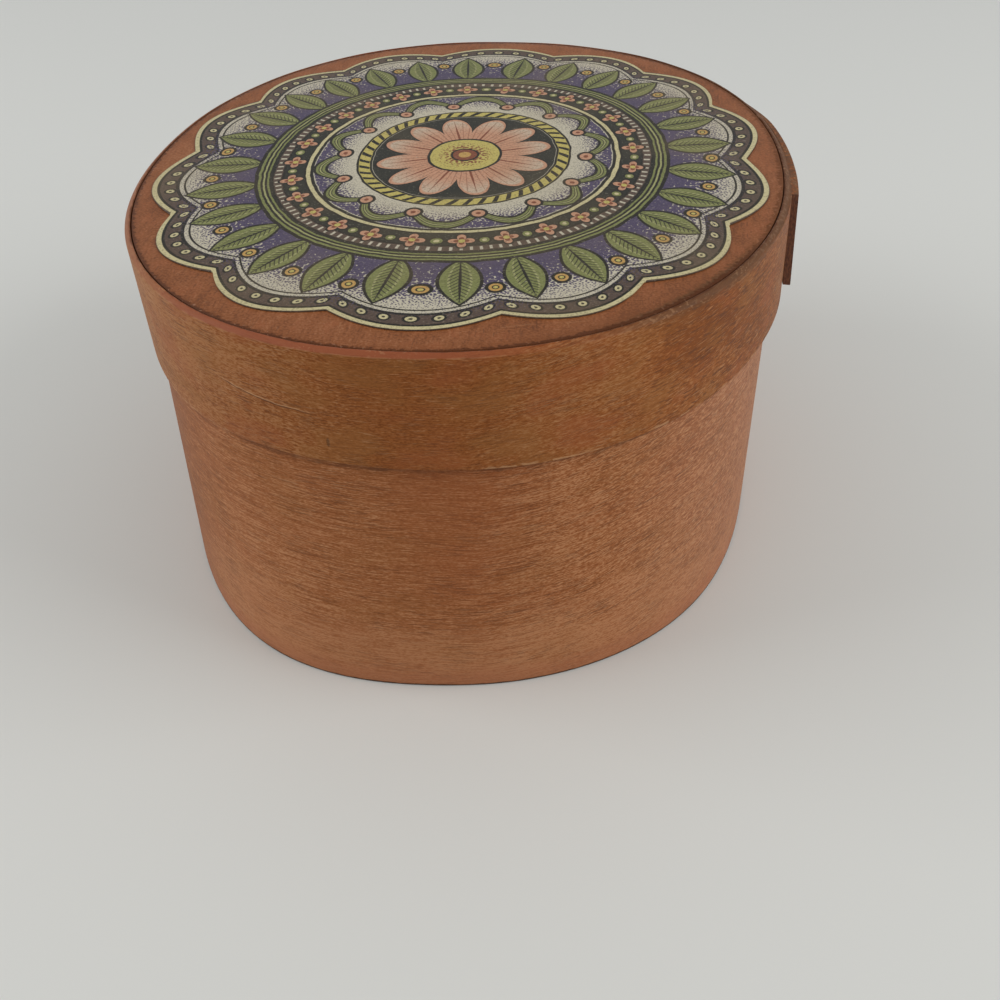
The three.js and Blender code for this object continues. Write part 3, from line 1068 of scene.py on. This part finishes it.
def print_blossom(art):
    """Open blossom on a dark ground, in the middle."""
    art.fill(NIGHT, art.beyond(BLOSSOM_GROUND_RING))
    petal = art.beyond(PETAL_ROOT_RING) - art.wave(PETALS) ** 0.6 * PETAL_LENGTH
    art.outlined(BLUSH, petal, 0.5)
    art.lay(PALE, art.beyond(PETAL_PALE_RING).rise(-3, 4) * petal.fall(-1.0, -0.4) * 0.75)
    vein = abs(art.beside(PETALS, 0.0)) - art.beyond(PETAL_TIP_RING).fall(-6, 0) * 0.2
    art.fill(RUSSET, vein.most(petal + 1.4))
    fine_vein = abs(art.beside(FINE_VEINS, 0.0)) - 0.07
    art.lay(RUSSET, fine_vein.most(petal + 0.9).fall(-PRINT_BLUR, PRINT_BLUR) * 0.6)
    heart = art.beyond(HEART_RING)
    art.outlined(YELLOW, heart, 0.5)
    art.stipple(RUSSET, heart.fall(-4.5, 0.6) * art.beyond(HEART_DOTS_RING).fall(0, 0.1) * 0.7, 0.62)
    art.outlined(RUSSET, art.beyond(PISTIL_RING))
    art.fill(OCHRE, art.beyond(PISTIL_LIGHT_RING))


def aim_camera():
    data = bpy.data.cameras.new("camera")
    data.sensor_width = SENSOR_MM
    data.lens = SENSOR_MM * FOCAL_PIXELS / IMAGE_PIXELS
    data.clip_start = CAMERA_NEAR
    camera = bpy.data.objects.new("camera", data)
    turn = Matrix.Rotation(CAMERA_HEADING, 4, "Z")
    tilt = Matrix.Rotation(math.pi / 2 - CAMERA_PITCH, 4, "X")
    roll = Matrix.Rotation(CAMERA_ROLL, 4, "Z")
    camera.matrix_world = Matrix.Translation(CAMERA_PLACE) @ turn @ tilt @ roll
    bpy.context.scene.collection.objects.link(camera)
    bpy.context.scene.camera = camera


def add_window(name, x, watts):
    """Square lamp that faces the box."""
    data = bpy.data.lights.new(name, "AREA")
    data.size = WINDOW_SIZE
    data.energy = watts
    lamp = bpy.data.objects.new(name, data)
    lamp.location = (x, WINDOW_Y, WINDOW_HEIGHT)
    lamp.rotation_euler = (-lamp.location).to_track_quat("-Z", "Y").to_euler()
    bpy.context.scene.collection.objects.link(lamp)


def add_sky():
    world = bpy.data.worlds.new("studio")
    world.use_nodes = True
    background = world.node_tree.nodes["Background"]
    background.inputs["Color"].default_value = (*SKY_COLOR, 1)
    background.inputs["Strength"].default_value = SKY_STRENGTH
    bpy.context.scene.world = world


def floor_paint(name):
    material, _, shader = new_material(name)
    shader.inputs["Base Color"].default_value = (*FLOOR_COLOR, 1)
    shader.inputs["Roughness"].default_value = FLOOR_ROUGHNESS
    return material


def add_floor():
    half = FLOOR_HALF
    corners = [(-half, -half, 0), (half, -half, 0), (half, half, 0), (-half, half, 0)]
    mesh = bpy.data.meshes.new("floor")
    mesh.from_pydata(corners, [], [(0, 1, 2, 3)])
    mesh.materials.append(floor_paint("floor"))
    floor = bpy.data.objects.new("floor", mesh)
    bpy.context.scene.collection.objects.link(floor)


def dress(piece, node, body):
    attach(piece, body)
    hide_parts(node)


bpy.context.scene.view_settings.view_transform = "Standard"
aim_camera()
add_sky()
add_window("window_left", -WINDOW_OUT, LEFT_WATTS)
add_window("window_right", WINDOW_OUT, RIGHT_WATTS)
add_floor()

bare_strip = bare_wood("bare_strip", 6.0, 6.0, 0.0)
bare_board = bare_wood("bare_board", 0.4, 5.0, 30.0)

body_finish = [body_stain("body_stain"), bare_strip]
body_band = sweep("body_veneer", body_stations(), True, body_section, BODY_STRAYS, body_finish)
dress(body_band, "body_band", "box")

base = board("base_wood", base_rim, TURN_STEPS, BASE_LOW[2], BASE_HIGH[2], BOARD_ROUND, [bare_board])
dress(base, "base_board", "box")

lid_finish = [lid_stain("lid_stain"), bare_strip, cut_end("cut_end")]
lid_band = sweep("lid_veneer", lid_stations(), False, lid_section, LID_STRAYS, lid_finish)
dress(lid_band, "lid_band", "lid")

top_finish = [lid_wood("lid_wood"), bare_board]
top_levels = (BOARD_LOW[2], BOARD_HIGH[2])
lid_top = board("lid_wood", lid_board_rim, TURN_STEPS, *top_levels, BOARD_ROUND, top_finish)
dress(lid_top, "lid_board", "lid")

print_steps = PRINT_LOBES * PRINT_LOBE_STEPS
print_finish = [print_paper("print_paper")]
print_levels = (PRINT_LOW[2], PRINT_HIGH[2])
lid_print = board("print_paper", print_rim, print_steps, *print_levels, PRINT_ROUND, print_finish)
dress(lid_print, "lid_print", "lid")
